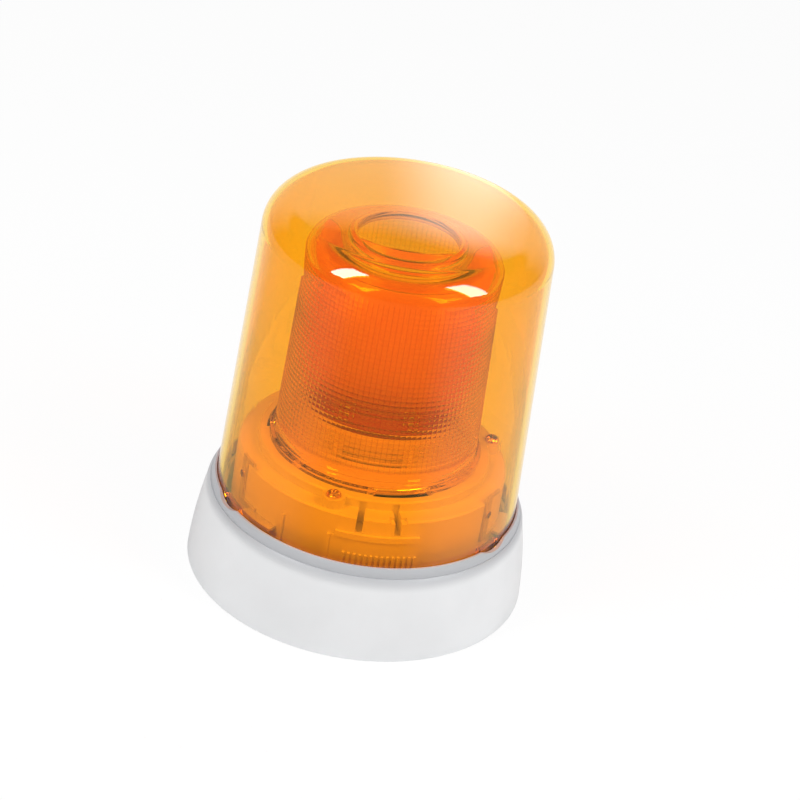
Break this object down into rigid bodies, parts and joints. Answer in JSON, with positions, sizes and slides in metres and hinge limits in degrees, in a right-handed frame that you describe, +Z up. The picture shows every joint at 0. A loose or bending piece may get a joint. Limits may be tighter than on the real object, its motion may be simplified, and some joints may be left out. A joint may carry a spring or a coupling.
{
  "type": "rotating beacon",
  "caption": "Rotating warning beacon: a motor-driven reflector and lamp inside a clear prismatic drum, under an amber bayonet dome on a flared metal base.",
  "frame": {"origin": "centre of the foot, on the surface that the beacon stands on", "axes": "+Z up along the rotor's axis; the front, towards which the reflector turns its back at rest, is -Y"},
  "size_m": [0.1694, 0.1694, 0.2031],
  "materials": {
    "silver_paint": "satin silver paint on die-cast aluminium",
    "black_rubber": "moulded rubber",
    "white_plastic": "moulded, satin",
    "black_plastic": "moulded, satin",
    "brass": "bright",
    "bronze": "sintered, oiled",
    "zinc_steel": "zinc plated",
    "board_green": "solder-resist laminate",
    "copper_wire": "enamelled wire",
    "capacitor_blue": "moulded box",
    "dark_shield": "dark heat-proof paint",
    "mirror_coat": "metallised reflector",
    "clear_glass": "clear glass",
    "tungsten": "drawn wire",
    "clear_plastic": "clear polycarbonate, prismatic",
    "amber_plastic": "transparent amber polycarbonate, polished"
  },
  "bodies": {
    "base": {"base_housing": "silver_paint", "mounting_gasket": "black_rubber", "cable_grommet": "black_rubber", "terminal_block": "white_plastic", "terminal_screws": "brass", "filter_board": "board_green", "board_screws": "zinc_steel", "filter_choke": "copper_wire", "filter_capacitor": "capacitor_blue", "chassis_drum": "white_plastic", "chassis_screws": "brass", "dome_brackets": "zinc_steel", "bracket_rivets": "brass", "service_cover": "white_plastic", "gear_plate": "zinc_steel", "plate_screws": "zinc_steel", "motor_can": "zinc_steel", "motor_end_cap": "black_plastic", "motor_tabs": "brass", "motor_screws": "zinc_steel", "idler_pin": "zinc_steel", "idler_clip": "zinc_steel", "centre_post": "zinc_steel", "thrust_washer": "brass", "post_clip": "zinc_steel", "lamp_holder": "zinc_steel", "lamp_base": "brass", "lamp_glass": "clear_glass", "lamp_filament": "tungsten", "optic_drum": "clear_plastic"},
    "dome_ring": {"dome_seal": "black_rubber"},
    "dome": {"dome": "amber_plastic"},
    "rotor": {"rotor_carrier": "white_plastic", "rotor_gear": "white_plastic", "lower_bush": "bronze", "upper_bush": "bronze", "heat_shield": "dark_shield", "reflector": "mirror_coat", "reflector_screws": "zinc_steel"},
    "idler": {"idler_gear": "white_plastic"},
    "motor_rotor": {"motor_shaft": "zinc_steel", "motor_pinion": "brass"}
  },
  "joints": [
    {"name": "dome_lift", "type": "slide", "parent": "base", "child": "dome_ring", "axis": [0, 0, 1], "range_m": [0, 0.16]},
    {"name": "dome_turn", "type": "hinge", "parent": "dome_ring", "child": "dome", "pos_m": [0, 0, 0.042], "axis": [0, 0, 1], "range_deg": [0, 20]},
    {"name": "rotor_spin", "type": "hinge", "parent": "base", "child": "rotor", "pos_m": [0, 0, 0.054], "axis": [0, 0, 1], "continuous": true},
    {"name": "idler_spin", "type": "hinge", "parent": "base", "child": "idler", "pos_m": [0.00813, 0.0326, 0.054], "axis": [0, 0, 1], "continuous": true},
    {"name": "motor_spin", "type": "hinge", "parent": "base", "child": "motor_rotor", "pos_m": [-0.01587, 0.03254, 0.054], "axis": [0, 0, 1], "continuous": true}
  ],
  "couplings": [
    {"joint": "idler_spin", "follows": "rotor_spin", "ratio": -5},
    {"joint": "motor_spin", "follows": "rotor_spin", "ratio": 20}
  ]
}
